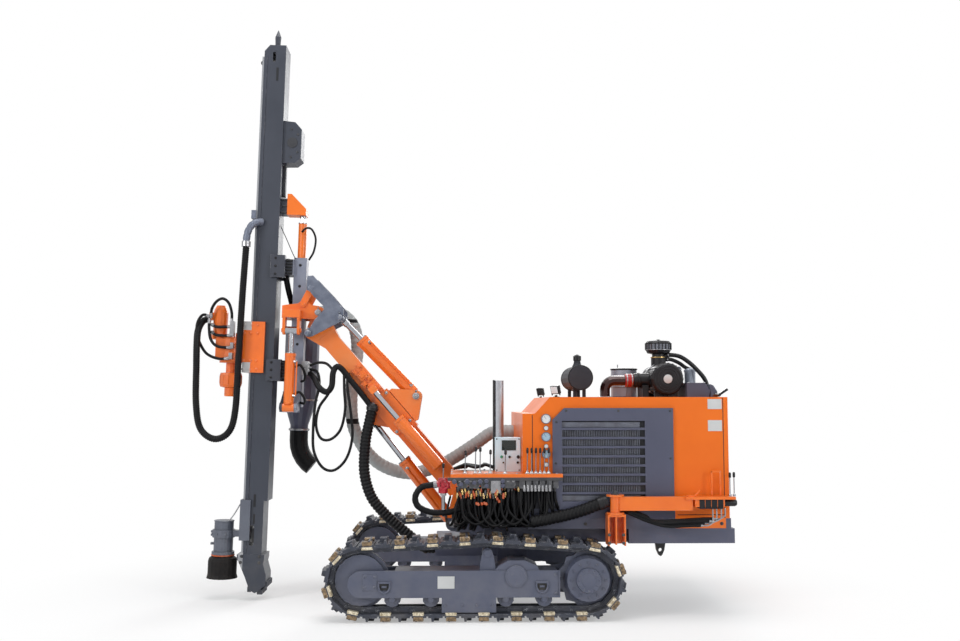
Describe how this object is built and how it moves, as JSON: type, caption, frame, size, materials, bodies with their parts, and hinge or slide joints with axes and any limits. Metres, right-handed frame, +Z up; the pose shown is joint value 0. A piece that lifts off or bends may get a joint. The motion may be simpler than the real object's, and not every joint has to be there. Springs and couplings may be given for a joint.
{
  "type": "crawler drilling rig",
  "caption": "Tracked surface drilling rig with an engine house, a swinging telescopic boom, and a tall tilting feed mast that carries a rotary drill head.",
  "frame": {"origin": "on the ground, under the middle of the whole rig's box", "axes": "+Z up, -X towards the mast and drill, -Y to the machine's left side"},
  "size_m": [4.832, 2.2, 5.4116],
  "materials": {
    "black_plastic": "satin",
    "black_rubber": "matt",
    "brown_pipe": "gloss",
    "chrome": "polished",
    "dark_steel": "matt, worn",
    "grey_fabric": "ribbed, matt",
    "orange_paint": "gloss",
    "pale_steel": "satin grey",
    "silver": "satin",
    "slate_paint": "satin",
    "white_paint": "gloss"
  },
  "bodies": {
    "carrier": {"air_cleaner": "black_plastic", "chassis": "slate_paint", "console_post": "orange_paint", "control_box": "white_paint", "control_deck": "orange_paint", "deck_hose": "black_rubber", "dust_hose": "grey_fabric", "engine_block": "dark_steel", "engine_house": "orange_paint", "grille_left": "slate_paint", "grille_right": "slate_paint", "idler_left": "dark_steel", "idler_right": "dark_steel", "intake_pipe": "brown_pipe", "muffler": "black_plastic", "roof_tray": "slate_paint", "sight_tube": "silver", "sprocket_left": "dark_steel", "sprocket_right": "dark_steel", "track_frame_left": "dark_steel", "track_frame_right": "dark_steel", "track_left": "dark_steel", "track_right": "dark_steel", "valve_banks": "dark_steel"},
    "boom_seat": {"boom_hose": "black_rubber", "boom_seat": "orange_paint"},
    "boom_outer": {"boom_outer": "orange_paint"},
    "lift_barrel": {"lift_barrel": "orange_paint"},
    "lift_rod": {"lift_rod": "chrome"},
    "boom_inner": {"boom_inner": "orange_paint"},
    "tilt_barrel": {"tilt_barrel": "orange_paint"},
    "tilt_rod": {"tilt_rod": "chrome"},
    "rocker": {"rocker": "pale_steel"},
    "rocker_link": {"rocker_link_left": "orange_paint", "rocker_link_right": "orange_paint"},
    "tilt_arm": {"tilt_arm": "orange_paint"},
    "cradle": {"cradle": "pale_steel", "cyclone": "slate_paint", "cyclone_boot": "black_rubber"},
    "roll_barrel": {"roll_barrel": "orange_paint"},
    "roll_rod": {"roll_rod": "chrome"},
    "mast": {"dust_hood": "slate_paint", "hood_skirt": "black_rubber", "mast_beam": "slate_paint"},
    "drill_carriage": {"drill_head": "orange_paint", "head_hose": "black_rubber"},
    "spindle": {"chuck": "orange_paint"},
    "console": {"console_arm": "orange_paint"}
  },
  "joints": [
    {"name": "boom_swing", "type": "hinge", "parent": "carrier", "child": "boom_seat", "pos_m": [0.276, 0, 0.56], "axis": [0, 0, 1], "range_deg": [-30, 20], "deforming": ["dust_hose", "boom_hose"]},
    {"name": "boom_lift", "type": "hinge", "parent": "boom_seat", "child": "boom_outer", "pos_m": [0.086, 0, 0.965], "axis": [0, 1, 0], "range_deg": [-45, 15]},
    {"name": "lift_barrel_pivot", "type": "hinge", "parent": "boom_seat", "child": "lift_barrel", "pos_m": [0.001, 0, 0.69], "axis": [0, 1, 0], "range_deg": [-42.4, 14.8]},
    {"name": "lift_rod_slide", "type": "slide", "parent": "lift_barrel", "child": "lift_rod", "axis": [-0.6227, 0, 0.7825], "range_m": [-0.209, 0.072]},
    {"name": "boom_extend", "type": "slide", "parent": "boom_outer", "child": "boom_inner", "axis": [-0.6547, 0, 0.7559], "range_m": [0, 0.6]},
    {"name": "mast_tilt", "type": "hinge", "parent": "boom_inner", "child": "tilt_arm", "pos_m": [-1.262, 0, 2.646], "axis": [0, -1, 0], "range_deg": [-35, 1]},
    {"name": "tilt_barrel_pivot", "type": "hinge", "parent": "boom_inner", "child": "tilt_barrel", "pos_m": [-0.34552, 0, 1.8679], "axis": [0, -1, 0], "range_deg": [-1.1, 4.8]},
    {"name": "tilt_rod_slide", "type": "slide", "parent": "tilt_barrel", "child": "tilt_rod", "axis": [-0.6984, 0, 0.7157], "range_m": [-0.12, 0.007]},
    {"name": "rocker_pivot", "type": "hinge", "parent": "boom_inner", "child": "rocker", "pos_m": [-1.348, 0, 2.4515], "axis": [0, -1, 0], "range_deg": [-24.4, 1.7]},
    {"name": "rocker_link_pivot", "type": "hinge", "parent": "rocker", "child": "rocker_link", "pos_m": [-1.3266, 0, 2.874], "axis": [0, -1, 0], "range_deg": [-29, 1.8]},
    {"name": "mast_roll", "type": "hinge", "parent": "tilt_arm", "child": "cradle", "pos_m": [-1.45897, 0, 2.64981], "axis": [0.9997, 0, -0.0244], "range_deg": [-20, 20]},
    {"name": "roll_barrel_pivot", "type": "hinge", "parent": "cradle", "child": "roll_barrel", "pos_m": [-1.5157, -0.205, 1.76093], "axis": [0.9997, 0, -0.0244], "range_deg": [-5.9, 5.9]},
    {"name": "roll_rod_slide", "type": "slide", "parent": "roll_barrel", "child": "roll_rod", "axis": [0.0244, 0, 0.9997], "range_m": [-0.074, 0.074]},
    {"name": "feed_extend", "type": "slide", "parent": "cradle", "child": "mast", "axis": [0.0244, 0, 0.9997], "range_m": [0, 0.6]},
    {"name": "head_feed", "type": "slide", "parent": "mast", "child": "drill_carriage", "axis": [0.0244, 0, 0.9997], "range_m": [-1.1, 2.3]},
    {"name": "chuck_spin", "type": "hinge", "parent": "drill_carriage", "child": "spindle", "pos_m": [-2.09383, 0, 2.09016], "axis": [0.0244, 0, 0.9997], "continuous": true},
    {"name": "console_swing", "type": "hinge", "parent": "carrier", "child": "console", "pos_m": [1.376, -0.985, 0.87], "axis": [0, 0, -1], "range_deg": [0, 90]}
  ],
  "couplings": [
    {"joint": "lift_barrel_pivot", "follows": "boom_lift", "ratio": 0.91981},
    {"joint": "lift_rod_slide", "follows": "boom_lift", "m_per_rad": 0.2614},
    {"joint": "tilt_barrel_pivot", "follows": "mast_tilt", "ratio": -0.1088},
    {"joint": "tilt_rod_slide", "follows": "mast_tilt", "m_per_rad": 0.19016},
    {"joint": "rocker_pivot", "follows": "mast_tilt", "ratio": 0.6679},
    {"joint": "rocker_link_pivot", "follows": "mast_tilt", "ratio": 0.8005},
    {"joint": "roll_barrel_pivot", "follows": "mast_roll", "ratio": 0.24561},
    {"joint": "roll_rod_slide", "follows": "mast_roll", "m_per_rad": 0.20014}
  ]
}
